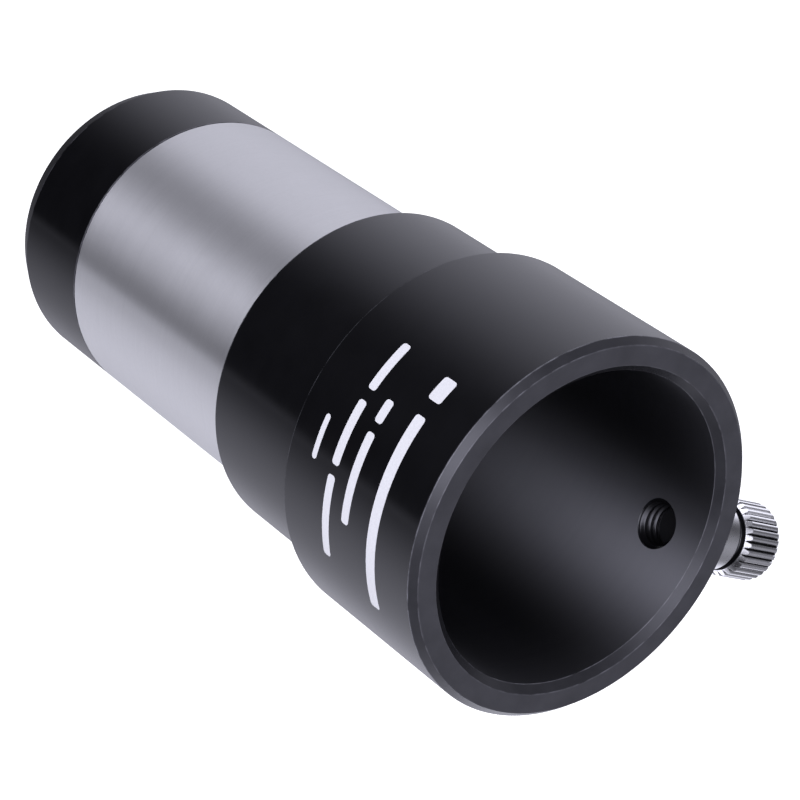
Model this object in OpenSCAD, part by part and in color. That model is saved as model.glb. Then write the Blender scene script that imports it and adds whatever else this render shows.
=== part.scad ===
// Barlow lens with a 31.7 mm nosepiece. Millimetres.
// The optical axis is Z, with the eyepiece end at +Z. The thumbscrew points along +X.
// Z = 0 is the shoulder, the rear face of the neck, which rests on the end of a focuser.

/* [Eyepiece holder] */
// Outside diameter of the wide front part
holder_d = 38.6; // [38:0.1:42]
// Length of the wide front part
holder_len = 21.05; // [18:0.05:24]
// Outside diameter of the neck
neck_d = 35; // [34.2:0.1:36.5]
// Length of the neck
neck_len = 15.35; // [12:0.05:18]
// Diameter of the socket that takes the eyepiece barrel
socket_d = 31.85; // [31.80:0.01:31.95]
// Length of the chamfer round the outside of the rim, along the axis
rim_chamfer_len = 0.75; // [0.3:0.05:1.2]
// Height of the chamfer round the outside of the rim, across the axis
rim_chamfer_h = 0.65; // [0.3:0.05:1]
// Size of the chamfer at the mouth of the socket
mouth_chamfer = 0.775; // [0.3:0.025:1]
// Thickness of the threaded floor behind the socket
floor_t = 3; // [2.5:0.1:4]

/* [Barrel] */
// Outside diameter of the nosepiece
barrel_d = 31.7; // [31.6:0.01:31.75]
// Length of the nosepiece tube behind the shoulder
barrel_len = 31; // [26:0.5:36]
// Inside diameter of the nosepiece tube
barrel_id = 28; // [27.6:0.1:28.2]
// Diameter of the spigot that screws into the holder's floor
spigot_d = 30.9; // [30.5:0.1:31]
// Distance of the baffle behind the shoulder
baffle_pos = 11; // [4:0.5:18]
// Clear diameter of the baffle
baffle_id = 24.6; // [24.2:0.1:26]
// Thickness of the baffle at the wall
baffle_t = 1.6; // [1:0.1:2.5]

/* [Lens cell] */
// Length of the cell that shows behind the barrel
cell_len = 12.8; // [12:0.05:14]
// Length of the cell's thread inside the barrel
cell_thread_len = 3.85; // [3:0.05:4.5]
// Diameter of the filter thread at the rear, and of the thread inside the barrel
filter_d = 28.5; // [28.4:0.05:28.6]
// Depth of the filter thread
filter_depth = 3.5; // [3:0.1:3.6]
// Length of the taper at the rear edge of the cell, along the axis
cell_taper_len = 2.3; // [1:0.05:2.6]
// Height of the taper at the rear edge of the cell, across the axis
cell_taper_h = 1; // [0.2:0.05:1.2]

/* [Optics] */
// Diameter of both glasses
lens_d = 25; // [24.8:0.1:25]
// Radius of the crown's front hollow
crown_r1 = 47.3; // [46:0.1:60]
// Radius of the crown's rear hollow
crown_r2 = 30; // [29.5:0.1:30.4]
// Thickness of the crown at its centre
crown_t = 1.8; // [1.6:0.05:1.85]
// Radius of the flint's front bulge
flint_r1 = 30.5; // [30.5:0.1:31]
// Radius of the flint's rear hollow
flint_r2 = 95; // [90:1:150]
// Thickness of the flint at its centre
flint_t = 3.3; // [3.2:0.05:3.35]
// Thickness of the spacer between the glasses
spacer_t = 0.2; // [0.15:0.05:0.3]

/* [Thumbscrew] */
// Distance of the screw's axis behind the rim
screw_pos = 6.67; // [5.5:0.01:9]
// Diameter of the knurled head
knob_d = 7.9; // [7.6:0.1:9]
// Length of the knurled head
knob_len = 4.15; // [3.5:0.05:6]
// Number of ridges round the head
knurl_n = 32; // [24:1:40]
// Depth of the grooves between the ridges
knurl_depth = 0.22; // [0.1:0.02:0.3]
// Diameter of the collar under the head
collar_d = 7; // [6:0.1:7.2]
// Diameter of the screw's thread
screw_d = 5; // [4:0.5:5]
// Gap between the collar and the holder with the screw backed out
collar_gap = 3; // [2.95:0.05:3.4]

/* [Hidden] */
$fn = 96;

// Small working gap between pieces that can move on each other
gap = 0.02;
// Radial clearance between a thread's two halves, drawn as plain cylinders
thread_play = 0.05;

holder_r = holder_d / 2;
neck_r = neck_d / 2;
socket_r = socket_d / 2;
barrel_r = barrel_d / 2;
z_step = neck_len;
z_rim = neck_len + holder_len;
z_screw = z_rim - screw_pos;
// Register round the barrel at the shoulder
register_depth = 0.6;
register_r = barrel_r + 0.03;
// Relief groove round the barrel at the shoulder
relief_r = barrel_r - 0.25;
relief_len = 0.3;

z_barrel_end = -barrel_len;
z_cell_front = z_barrel_end - 0.05;
z_cell_end = z_cell_front - cell_len;
z_cell_tip = z_cell_front + cell_thread_len;
barrel_thread_len = cell_thread_len + 0.15;

// Lens stack, from the seat backwards
lens_r = lens_d / 2;
pocket_r = lens_r + 0.1;
seat_r = lens_r - 0.6;
z_seat = z_cell_front + 1.55;
function sag(r, h) = r - sqrt(r * r - h * h);
z_crown = z_seat - gap;
crown_edge = crown_t + sag(crown_r1, lens_r) + sag(crown_r2, lens_r);
z_spacer = z_crown - crown_edge;
z_flint = z_spacer - spacer_t;
// The flint's bulge ends at a flat ring, which the spacer rests on
bulge_r = lens_r - 0.6;
flint_edge = flint_t - sag(flint_r1, bulge_r) + sag(flint_r2, lens_r);
z_ring = z_flint - flint_edge - gap;
ring_t = 1.4;
ring_r = pocket_r + 0.35;
z_ring_end = z_ring - ring_t;
z_filter = z_cell_end + filter_depth;

// Thumbscrew, along X from the optical axis
screw_r = screw_d / 2;
x_collar = holder_r + collar_gap;
x_groove = x_collar + 1.85;
x_knob = x_groove + 0.82;
x_knurl = x_knob + 0.63;
x_end = x_knurl + knob_len;
x_tip = socket_r + 2.475;
shank_r = screw_r - 0.08;
knob_bore_r = shank_r + 0.03;
knob_bore_end = x_knurl + 1.4;
knob_r = knob_d / 2;
collar_r = collar_d / 2;

// Ring turned about Z from a list of [radius, height] corners
module turned(profile) {
    rotate_extrude() polygon(profile);
}

// Same, about X, measured outwards from the optical axis
module turned_x(profile) {
    translate([0, 0, z_screw]) rotate([0, 90, 0]) rotate_extrude() polygon(profile);
}

module eyepiece_holder() {
    color("#1b1b1e") difference() {
        turned([
            [register_r, 0], [neck_r, 0], [neck_r, z_step], [holder_r, z_step],
            [holder_r, z_rim - rim_chamfer_len], [holder_r - rim_chamfer_h, z_rim],
            [socket_r + mouth_chamfer, z_rim], [socket_r, z_rim - mouth_chamfer],
            [socket_r, floor_t], [spigot_d / 2 + thread_play, floor_t],
            [spigot_d / 2 + thread_play, register_depth], [register_r, register_depth]
        ]);
        // Tapped hole for the thumbscrew
        translate([socket_r - 2, 0, z_screw]) rotate([0, 90, 0]) cylinder(r = screw_r, h = holder_r - socket_r + 4);
    }
}

module barrel() {
    color("#c4c6cc") turned([
        [barrel_id / 2, z_barrel_end + barrel_thread_len],
        [filter_d / 2, z_barrel_end + barrel_thread_len],
        [filter_d / 2, z_barrel_end], [barrel_r, z_barrel_end], [barrel_r, -relief_len],
        [relief_r, -relief_len], [relief_r, register_depth],
        [spigot_d / 2, register_depth], [spigot_d / 2, floor_t], [barrel_id / 2, floor_t]
    ]);
}

// The baffle's wall side is thick and its bore ends in a thin lip
module barrel_baffle() {
    color("#141416") turned([
        [barrel_id / 2 - 0.01, -baffle_pos], [barrel_id / 2 - 0.01, -baffle_pos - baffle_t],
        [baffle_id / 2 + 0.6, -baffle_pos - baffle_t], [baffle_id / 2, -baffle_pos - 0.3],
        [baffle_id / 2, -baffle_pos]
    ]);
}

module lens_cell() {
    color("#1b1b1e") turned([
        [seat_r, z_seat], [seat_r, z_cell_tip], [filter_d / 2 - thread_play, z_cell_tip],
        [filter_d / 2 - thread_play, z_cell_front], [barrel_r, z_cell_front],
        [barrel_r, z_cell_end + cell_taper_len], [barrel_r - cell_taper_h, z_cell_end],
        [filter_d / 2, z_cell_end], [filter_d / 2, z_filter],
        [ring_r + thread_play, z_filter], [ring_r + thread_play, z_ring + 0.3],
        [pocket_r, z_ring + 0.3], [pocket_r, z_seat]
    ]);
}

module crown_element() {
    color("#bcd6e6", 0.5) difference() {
        translate([0, 0, z_crown - crown_edge]) cylinder(r = lens_r, h = crown_edge);
        translate([0, 0, z_crown - sag(crown_r1, lens_r) + crown_r1]) sphere(r = crown_r1);
        translate([0, 0, z_crown - crown_edge + sag(crown_r2, lens_r) - crown_r2]) sphere(r = crown_r2);
    }
}

module lens_spacer() {
    color("#2a2a2c") translate([0, 0, z_flint]) difference() {
        cylinder(r = lens_r, h = spacer_t);
        translate([0, 0, -1]) cylinder(r = lens_r - 0.5, h = spacer_t + 2);
    }
}

module flint_element() {
    color("#a9c8d8", 0.5) difference() {
        union() {
            translate([0, 0, z_flint - flint_edge]) cylinder(r = lens_r, h = flint_edge);
            intersection() {
                translate([0, 0, z_flint - 1]) cylinder(r = lens_r, h = 5);
                translate([0, 0, z_flint + sag(flint_r1, bulge_r) - flint_r1]) sphere(r = flint_r1);
                translate([0, 0, z_flint - 0.5]) cylinder(r = bulge_r, h = 5);
            }
        }
        translate([0, 0, z_flint - flint_edge + sag(flint_r2, lens_r) - flint_r2]) sphere(r = flint_r2);
    }
}

module lens_retaining_ring() {
    color("#222225") difference() {
        translate([0, 0, z_ring_end]) cylinder(r = ring_r, h = ring_t);
        translate([0, 0, z_ring_end - 1]) cylinder(r = lens_r - 0.8, h = ring_t + 2);
        // Two slots for a spanner, in the face that looks out of the rear
        for (s = [-1, 1])
            translate([-0.6, s > 0 ? lens_r - 1.8 : -lens_r - 1.2, z_ring_end - 1]) cube([1.2, 3, 1.7]);
    }
}

module thumbscrew_shank() {
    color("#c9c9cf") turned_x([
        [0, x_tip], [shank_r - 0.45, x_tip], [shank_r, x_tip + 0.45],
        [shank_r, knob_bore_end - 0.05], [0, knob_bore_end - 0.05]
    ]);
}

// Outline of the knurl: a ridge and a groove for each step round the head
function knurl_outline(r, depth) =
    [for (i = [0 : knurl_n - 1], k = [0 : 3])
        let (a = 360 / knurl_n * (i + [0, 0.45, 0.6, 0.85][k]), q = k < 2 ? r : r - depth)
        [q * cos(a), q * sin(a)]];

module thumbscrew_head() {
    color("#d4d4da") difference() {
        union() {
            turned_x([
                [0, x_collar], [collar_r - 0.15, x_collar], [collar_r, x_collar + 0.15],
                [collar_r, x_groove], [collar_r - 0.6, x_groove], [collar_r - 0.6, x_knob],
                [collar_r, x_knob], [knob_r - knurl_depth, x_knurl - 0.15],
                [knob_r - knurl_depth, x_end - 0.1], [knob_r - knurl_depth - 0.1, x_end], [0, x_end]
            ]);
            intersection() {
                translate([x_knurl - 0.4, 0, z_screw]) rotate([0, 90, 0])
                    linear_extrude(height = knob_len + 0.4) polygon(knurl_outline(knob_r, knurl_depth));
                turned_x([
                    [0, x_knurl - 0.63], [collar_r, x_knurl - 0.63], [knob_r, x_knurl],
                    [knob_r, x_end - 0.3], [knob_r - 0.25, x_end], [0, x_end]
                ]);
            }
        }
        // Socket for the shank
        translate([x_collar - 1, 0, z_screw]) rotate([0, 90, 0]) cylinder(r = knob_bore_r, h = knob_bore_end - x_collar + 1);
    }
}

eyepiece_holder();
barrel();
barrel_baffle();
lens_cell();
crown_element();
lens_spacer();
flint_element();
lens_retaining_ring();
thumbscrew_shank();
thumbscrew_head();
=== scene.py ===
"""Barlow lens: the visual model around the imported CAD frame. All sizes in the code are millimetres unless a name says otherwise."""
import math

import bpy
import numpy as np
from mathutils import Matrix, Vector


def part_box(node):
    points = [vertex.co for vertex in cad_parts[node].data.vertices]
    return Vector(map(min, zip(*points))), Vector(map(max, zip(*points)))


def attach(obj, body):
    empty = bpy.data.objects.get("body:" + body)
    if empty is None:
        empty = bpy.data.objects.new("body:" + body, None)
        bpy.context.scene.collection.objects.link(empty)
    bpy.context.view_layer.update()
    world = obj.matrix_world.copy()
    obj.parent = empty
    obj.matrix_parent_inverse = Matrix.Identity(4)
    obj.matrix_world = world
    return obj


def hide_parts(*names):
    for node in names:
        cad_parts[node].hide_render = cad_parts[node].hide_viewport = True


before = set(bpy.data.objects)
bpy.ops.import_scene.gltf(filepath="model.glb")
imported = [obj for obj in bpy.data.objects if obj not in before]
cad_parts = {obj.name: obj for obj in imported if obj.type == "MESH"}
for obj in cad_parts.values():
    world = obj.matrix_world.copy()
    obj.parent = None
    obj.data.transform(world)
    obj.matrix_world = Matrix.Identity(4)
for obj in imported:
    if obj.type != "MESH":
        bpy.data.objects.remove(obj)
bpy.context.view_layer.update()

MM = 0.001
TAU = 2 * math.pi


def node_box(name):
    lo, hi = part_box(name)
    return [v / MM for v in lo], [v / MM for v in hi]


# ---------------------------------------------------------------- sizes, read from the CAD frame
H_LO, H_HI = node_box("eyepiece_holder")
B_LO, B_HI = node_box("barrel")
C_LO, C_HI = node_box("lens_cell")
K_LO, K_HI = node_box("thumbscrew_head")
S_LO, S_HI = node_box("thumbscrew_shank")
G1_LO, G1_HI = node_box("crown_element")
G2_LO, G2_HI = node_box("flint_element")
F_LO, F_HI = node_box("barrel_baffle")
R_LO, R_HI = node_box("lens_retaining_ring")
P_LO, P_HI = node_box("lens_spacer")

WIDE_R = H_HI[0]
Z_RIM = H_HI[2]
BARREL_R = B_HI[0]
Z_SCREW = (K_LO[2] + K_HI[2]) / 2
X_COLLAR, X_END = K_LO[0], K_HI[0]
X_TIP = S_LO[0]
Z_CELL_END = C_LO[2]
Z_CELL_TIP = C_HI[2]
Z_BARREL_END = B_LO[2]
LENS_R = G1_HI[0]

NECK_R = 17.5
Z_STEP = 15.35
BORE_R = 15.925
FLOOR_Z = 3.0


# ---------------------------------------------------------------- mesh helpers
WEAR_BAND = 0.06


def corner_path(corners, step=12.0):
    """A closed outline of (radius, height, fillet) corners, counterclockwise, as points with the outward normals
    at both ends of each side. flags says which points lie on a fillet."""
    n = len(corners)
    P = [np.array(c[:2], float) for c in corners]
    fil = [c[2] if len(c) > 2 else 0.0 for c in corners]
    pts, nin, nout, flags = [], [], [], []
    for i in range(n):
        p, c, q = P[i - 1], P[i], P[(i + 1) % n]
        a, b = c - p, q - c
        la, lb = np.linalg.norm(a), np.linalg.norm(b)
        a, b = a / la, b / lb
        na, nb = np.array([a[1], -a[0]]), np.array([b[1], -b[0]])
        cross = a[0] * b[1] - a[1] * b[0]
        turn = math.atan2(cross, float(a @ b))
        if fil[i] <= 0 or abs(turn) < 1e-4:
            pts.append(c); nin.append(na); nout.append(nb); flags.append(0.0)
            continue
        t = min(fil[i] * math.tan(abs(turn) / 2), 0.47 * la, 0.47 * lb)
        rad = t / math.tan(abs(turn) / 2)
        side = 1 if turn > 0 else -1
        centre = (c - a * t) - side * na * rad
        k = max(2, int(math.ceil(abs(math.degrees(turn)) / step)))
        for j in range(k + 1):
            w = turn * j / k
            cw, sw = math.cos(w), math.sin(w)
            nn = np.array([na[0] * cw - na[1] * sw, na[0] * sw + na[1] * cw])
            pts.append(centre + side * nn * rad)
            nin.append(nn); nout.append(nn); flags.append(1.0 if side > 0 else 0.0)
    # A point close to each worn edge on every long side, so that the wear stays at the edge
    P2, A2, B2, F2 = [], [], [], []
    m = len(pts)
    for i in range(m):
        k = (i + 1) % m
        P2.append(pts[i]); A2.append(nin[i]); B2.append(nout[i]); F2.append(flags[i])
        d = pts[k] - pts[i]
        length = np.linalg.norm(d)
        if length > 4 * WEAR_BAND:
            if flags[i] > 0:
                P2.append(pts[i] + d * WEAR_BAND / length); A2.append(nout[i]); B2.append(nout[i]); F2.append(0.0)
            if flags[k] > 0:
                P2.append(pts[k] - d * WEAR_BAND / length); A2.append(nout[i]); B2.append(nout[i]); F2.append(0.0)
    return np.array(P2), np.array(A2), np.array(B2), np.array(F2)


def put(name, verts_mm, faces, loop_normals=None, edge=None, mats=None, face_mat=None, smooth_angle=None):
    """A mesh object from arrays. loop_normals holds a normal for each corner of each face, or zeros for an automatic one."""
    me = bpy.data.meshes.new(name)
    me.from_pydata([tuple(v) for v in np.asarray(verts_mm, float) * MM], [], [tuple(int(k) for k in f) for f in faces])
    me.update()
    for m in mats or []:
        me.materials.append(m)
    if face_mat is not None:
        me.polygons.foreach_set("material_index", np.asarray(face_mat, dtype=np.int32))
    if edge is not None:
        at = me.attributes.new("edge_wear", "FLOAT", "POINT")
        at.data.foreach_set("value", np.asarray(edge, dtype=np.float32))
    me.polygons.foreach_set("use_smooth", np.ones(len(me.polygons), dtype=bool))
    if smooth_angle is not None:
        me.set_sharp_from_angle(angle=math.radians(smooth_angle))
    if loop_normals is not None:
        me.normals_split_custom_set([tuple(v) for v in loop_normals])
    me.update()
    ob = bpy.data.objects.new(name, me)
    bpy.context.scene.collection.objects.link(ob)
    return ob


def place(r, h, ang, axis):
    """Points at radius r, height h and angle ang about the optical axis, or about the thumbscrew's axis."""
    x, y = r * np.cos(ang), r * np.sin(ang)
    if axis == "z":
        return np.stack([x, y, h + 0 * x], -1)
    return np.stack([h + 0 * x, x, Z_SCREW + y], -1)


def turn(direction, ang, axis):
    """The outward normal (radial, along) at angle ang."""
    x, y = direction[0] * np.cos(ang), direction[0] * np.sin(ang)
    if axis == "z":
        return np.stack([x, y, direction[1] + 0 * x], -1)
    return np.stack([direction[1] + 0 * x, x, y], -1)


def revolve(name, corners, seg, axis="z", mats=None, mat_of=None, phase=0.0):
    """A closed ring turned from an outline, with exact normals."""
    pts, nin, nout, flags = corner_path(corners)
    n = len(pts)
    ang = phase + np.arange(seg) * TAU / seg
    verts, index = [], {}
    for i in range(n):
        if pts[i][0] < 1e-6:
            index[i] = np.full(seg, len(verts)); verts.append(place(0.0, pts[i][1], np.array([0.0]), axis)[0])
        else:
            index[i] = np.arange(seg) + len(verts); verts.extend(place(pts[i][0], pts[i][1], ang, axis))
    edge = np.zeros(len(verts))
    for i in range(n):
        edge[index[i]] = flags[i]
    faces, normals, fmat = [], [], []
    for i in range(n):
        k = (i + 1) % n
        if np.linalg.norm(pts[i] - pts[k]) < 1e-7:
            continue
        a0, a1 = pts[i][0] < 1e-6, pts[k][0] < 1e-6
        if a0 and a1:
            continue
        mid = (pts[i] + pts[k]) / 2
        m = mat_of(mid, nout[i]) if mat_of else 0
        Ni, Nk = turn(nout[i], ang, axis), turn(nin[k], ang, axis)
        for j in range(seg):
            l = (j + 1) % seg
            if a0:
                faces.append((index[i][j], index[k][l], index[k][j])); normals += [Ni[j], Nk[l], Nk[j]]
            elif a1:
                faces.append((index[i][j], index[i][l], index[k][j])); normals += [Ni[j], Ni[l], Nk[j]]
            else:
                faces.append((index[i][j], index[i][l], index[k][l], index[k][j]))
                normals += [Ni[j], Ni[l], Nk[l], Nk[j]]
            fmat.append(m)
    return put(name, verts, faces, normals, edge, mats, fmat)


def tooth(u):
    """Height of a 60 degree thread across one pitch, from 0 at its root to 1 at its crest, with flats at both."""
    d = np.abs(u - np.round(u)) * 2
    return np.clip((0.86 - d) / 0.66, 0, 1)


def relief(name, rows, seg, axis="z", mats=None, mat_of=None, smooth_angle=30, caps=(False, False)):
    """A closed ring or rod whose radius may vary round it. rows is a list of (radius array over seg angles, height array),
    in order round the outline; the last joins the first unless both ends are capped on the axis."""
    verts, faces, fmat = [], [], []
    for r, h in rows:
        ang = np.arange(seg) * TAU / seg
        verts.extend(place(np.broadcast_to(r, (seg,)), np.broadcast_to(h, (seg,)), ang, axis))
    n = len(rows)
    loop = range(n - 1) if caps[0] else range(n)
    for i in loop:
        k = (i + 1) % n
        m = mat_of(i) if mat_of else 0
        for j in range(seg):
            l = (j + 1) % seg
            faces.append((i * seg + j, i * seg + l, k * seg + l, k * seg + j)); fmat.append(m)
    if caps[0]:
        c0 = len(verts); verts.append(place(0.0, float(np.mean(rows[0][1])), np.array([0.0]), axis)[0])
        c1 = len(verts); verts.append(place(0.0, float(np.mean(rows[-1][1])), np.array([0.0]), axis)[0])
        for j in range(seg):
            l = (j + 1) % seg
            faces.append((c0, l, j)); fmat.append(mat_of(0) if mat_of else 0)
            faces.append((c1, (n - 1) * seg + j, (n - 1) * seg + l)); fmat.append(mat_of(n - 2) if mat_of else 0)
    return put(name, verts, faces, None, None, mats, fmat, smooth_angle)


# ---------------------------------------------------------------- materials
class Nodes:
    """A short way to write a node tree."""

    def __init__(self, name):
        self.mat = bpy.data.materials.new(name)
        self.mat.use_nodes = True
        self.t = self.mat.node_tree
        self.t.nodes.clear()
        self.out = self.add("ShaderNodeOutputMaterial")

    def add(self, kind, **props):
        n = self.t.nodes.new(kind)
        for k, v in props.items():
            setattr(n, k, v)
        return n

    def link(self, a, b):
        self.t.links.new(a, b)

    def math(self, op, a, b=None, c=None, clamp=False):
        n = self.add("ShaderNodeMath", operation=op, use_clamp=clamp)
        for i, v in enumerate((a, b, c)):
            if v is None:
                continue
            if isinstance(v, (int, float)):
                n.inputs[i].default_value = v
            else:
                self.link(v, n.inputs[i])
        return n.outputs[0]

    def position(self):
        """The point on the part in millimetres, from the object's own coordinates."""
        tc = self.add("ShaderNodeTexCoord")
        vm = self.add("ShaderNodeVectorMath", operation="SCALE")
        self.link(tc.outputs["Object"], vm.inputs[0])
        vm.inputs["Scale"].default_value = 1000.0
        return vm.outputs[0]

    def split(self, v):
        s = self.add("ShaderNodeSeparateXYZ")
        self.link(v, s.inputs[0])
        return s.outputs

    def join(self, x, y, z):
        c = self.add("ShaderNodeCombineXYZ")
        for i, v in enumerate((x, y, z)):
            if isinstance(v, (int, float)):
                c.inputs[i].default_value = v
            else:
                self.link(v, c.inputs[i])
        return c.outputs[0]

    def noise(self, v, scale, detail=3.0, rough=0.5, dist=0.0):
        n = self.add("ShaderNodeTexNoise")
        self.link(v, n.inputs["Vector"])
        n.inputs["Scale"].default_value = scale
        n.inputs["Detail"].default_value = detail
        n.inputs["Roughness"].default_value = rough
        n.inputs["Distortion"].default_value = dist
        return n.outputs["Fac"]

    def ramp(self, v, lo, hi, to_lo, to_hi):
        n = self.add("ShaderNodeMapRange")
        n.clamp = True
        self.link(v, n.inputs["Value"])
        for k, x in zip(("From Min", "From Max", "To Min", "To Max"), (lo, hi, to_lo, to_hi)):
            n.inputs[k].default_value = x
        return n.outputs["Result"]

    def mix(self, fac, a, b):
        n = self.add("ShaderNodeMix", data_type="RGBA")
        self.link(fac, n.inputs[0])
        for sock, v in ((n.inputs[6], a), (n.inputs[7], b)):
            if isinstance(v, (tuple, list)):
                sock.default_value = (*v, 1.0)
            else:
                self.link(v, sock)
        return n.outputs[2]

    def bump(self, height, distance_mm, strength=1.0, normal=None):
        n = self.add("ShaderNodeBump")
        n.inputs["Strength"].default_value = strength
        n.inputs["Distance"].default_value = distance_mm * MM
        self.link(height, n.inputs["Height"])
        if normal is not None:
            self.link(normal, n.inputs["Normal"])
        return n.outputs["Normal"]

    def shader(self, **consts):
        p = self.add("ShaderNodeBsdfPrincipled")
        for k, v in consts.items():
            p.inputs[k.replace("_", " ")].default_value = v
        self.link(p.outputs[0], self.out.inputs["Surface"])
        return p

    def tangent(self, p, axis):
        n = self.add("ShaderNodeTangent", direction_type="RADIAL", axis=axis)
        self.link(n.outputs[0], p.inputs["Tangent"])

    def turned_grain(self, pos, axis, seed=0.0):
        """Lathe lines: noise that varies along the axis and hardly at all round it."""
        x, y, z = self.split(pos)
        along = z if axis == "Z" else x
        across = self.math("SQRT", self.math("ADD", self.math("MULTIPLY", x, x), self.math("MULTIPLY", y, y))) if axis == "Z" else \
            self.math("SQRT", self.math("ADD", self.math("MULTIPLY", y, y), self.math("MULTIPLY", self.math("SUBTRACT", z, Z_SCREW), self.math("SUBTRACT", z, Z_SCREW))))
        a2 = x if axis == "Z" else y
        return self.join(self.math("ADD", along, seed), self.math("MULTIPLY", across, 1.0), self.math("MULTIPLY", a2, 0.02))


def black_finish(name, rough=0.2, aniso=0.0, tint=(0.0042, 0.0042, 0.0050), wear=0.5, grain=0.0008, axis="Z", spec=0.5, metal=0.0, cloudy=1.0):
    """Satin black anodised aluminium with fine turning lines and rubbed edges."""
    m = Nodes(name)
    pos = m.position()
    g = m.turned_grain(pos, axis)
    fine = m.noise(g, 14.0, 4.0, 0.6)
    broad = m.noise(g, 1.3, 2.0, 0.5)
    cloud = m.noise(pos, 0.35, 3.0, 0.55)
    p = m.shader(Metallic=metal, IOR=1.5, Anisotropic=aniso, Anisotropic_Rotation=0.25, Specular_IOR_Level=spec, Specular_Tint=(0.945, 0.945, 1.0, 1.0))
    base = m.mix(m.ramp(cloud, 0.3, 0.7, 0.0, cloudy), tint, tuple(c * 1.35 for c in tint))
    # Rubbed edges, where the aluminium starts to show
    at = m.add("ShaderNodeAttribute", attribute_name="edge_wear")
    rub = m.math("MULTIPLY", m.ramp(m.noise(pos, 0.8, 3.0, 0.5), 0.35, 0.75, 0.0, wear), at.outputs["Fac"])
    base = m.mix(rub, base, (0.22, 0.22, 0.24))
    m.link(base, p.inputs["Base Color"])
    m.link(m.math("ADD", m.ramp(broad, 0.25, 0.75, rough - 0.02, rough + 0.02), m.ramp(cloud, 0.3, 0.7, -0.01 * cloudy, 0.012 * cloudy)), p.inputs["Roughness"])
    m.link(m.bump(fine, grain, 1.0), p.inputs["Normal"])
    m.tangent(p, axis)
    return m.mat


def silver_finish(name="silver_barrel_finish"):
    """Fine turned satin silver: the lights smear along the tube."""
    m = Nodes(name)
    pos = m.position()
    g = m.turned_grain(pos, "Z", 3.1)
    fine = m.noise(g, 22.0, 5.0, 0.65)
    mid = m.noise(g, 3.0, 3.0, 0.5)
    cloud = m.noise(pos, 0.5, 3.0, 0.6)
    mottle = m.noise(pos, 2.6, 3.0, 0.6)
    p = m.shader(Metallic=1.0, Anisotropic=1.0, Anisotropic_Rotation=0.25)
    t = m.math("ADD", m.ramp(fine, 0.3, 0.7, 0.0, 0.4), m.math("ADD", m.ramp(mid, 0.3, 0.7, 0.0, 0.12), m.ramp(mottle, 0.25, 0.75, 0.0, 0.2)))
    base = m.mix(t, (0.462, 0.462, 0.466), (0.552, 0.552, 0.556))
    at = m.add("ShaderNodeAttribute", attribute_name="edge_wear")
    base = m.mix(m.math("MULTIPLY", at.outputs["Fac"], 0.4), base, (0.72, 0.72, 0.73))
    m.link(base, p.inputs["Base Color"])
    m.link(m.math("ADD", m.ramp(mid, 0.3, 0.7, 0.34, 0.35), m.ramp(cloud, 0.3, 0.7, -0.006, 0.006)), p.inputs["Roughness"])
    m.link(m.bump(fine, 0.004, 1.0), p.inputs["Normal"])
    m.tangent(p, "Z")
    return m.mat


def chrome_finish(name, rough=0.1, axis="X", base=(0.70, 0.70, 0.735), spread=0.03):
    """Bright nickel plate with faint swirls and pits. With a dark base it also gives the painted shade in the collar
    groove and at the bottoms of the flutes.
    """
    m = Nodes(name)
    pos = m.position()
    g = m.turned_grain(pos, axis, 1.7)
    fine = m.noise(g, 16.0, 3.0, 0.6)
    cloud = m.noise(pos, 1.1, 4.0, 0.6)
    pits = m.noise(pos, 7.0, 3.0, 0.6)
    p = m.shader(Metallic=1.0, Anisotropic=0.35, Anisotropic_Rotation=0.25)
    c = m.mix(m.ramp(cloud, 0.3, 0.7, 0.0, 1.0), base, tuple(min(1, b * 1.09) for b in base))
    c = m.mix(m.ramp(pits, 0.66, 0.78, 0.0, 0.35), c, tuple(b * 0.6 for b in base))
    m.link(c, p.inputs["Base Color"])
    m.link(m.ramp(cloud, 0.25, 0.75, rough, rough + spread), p.inputs["Roughness"])
    m.link(m.bump(m.math("ADD", m.math("MULTIPLY", fine, 0.5), pits), 0.004, 1.0), p.inputs["Normal"])
    m.tangent(p, axis)
    return m.mat


def matt_finish(name, tint=(0.006, 0.006, 0.0066), rough=0.55, ribs=None):
    """Matt black for the surfaces inside the tube, with fine anti-glare ribs where asked."""
    m = Nodes(name)
    pos = m.position()
    g = m.turned_grain(pos, "Z", 5.0)
    fine = m.noise(g, 9.0, 4.0, 0.6)
    grit = m.noise(pos, 14.0, 4.0, 0.7)
    p = m.shader(Metallic=0.0, IOR=1.45, Anisotropic=0.0)
    base = m.mix(m.ramp(grit, 0.3, 0.7, 0.0, 1.0), tint, tuple(c * 1.6 for c in tint))
    m.link(base, p.inputs["Base Color"])
    m.link(m.ramp(fine, 0.3, 0.7, rough - 0.05, rough + 0.08), p.inputs["Roughness"])
    if ribs:
        x, y, z = m.split(pos)
        saw = m.math("PINGPONG", z, ribs / 2)
        n1 = m.bump(saw, 1.0, 0.6)
        m.link(m.bump(grit, 0.01, 1.0, n1), p.inputs["Normal"])
    else:
        m.link(m.bump(m.math("ADD", fine, grit), 0.008, 1.0), p.inputs["Normal"])
    return m.mat


def glass_finish(name, film, ior):
    """Optical glass with an antireflection coating and faint smears."""
    m = Nodes(name)
    pos = m.position()
    smear = m.noise(pos, 0.22, 3.0, 0.6)
    p = m.shader(Metallic=0.0, IOR=ior, Transmission_Weight=1.0, Thin_Film_Thickness=film, Thin_Film_IOR=1.38)
    base = m.mix(m.ramp(smear, 0.4, 0.7, 0.0, 1.0), (0.985, 0.995, 0.99), (0.965, 0.985, 0.975))
    m.link(base, p.inputs["Base Color"])
    m.link(m.ramp(smear, 0.45, 0.75, 0.0, 0.03), p.inputs["Roughness"])
    return m.mat


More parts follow.
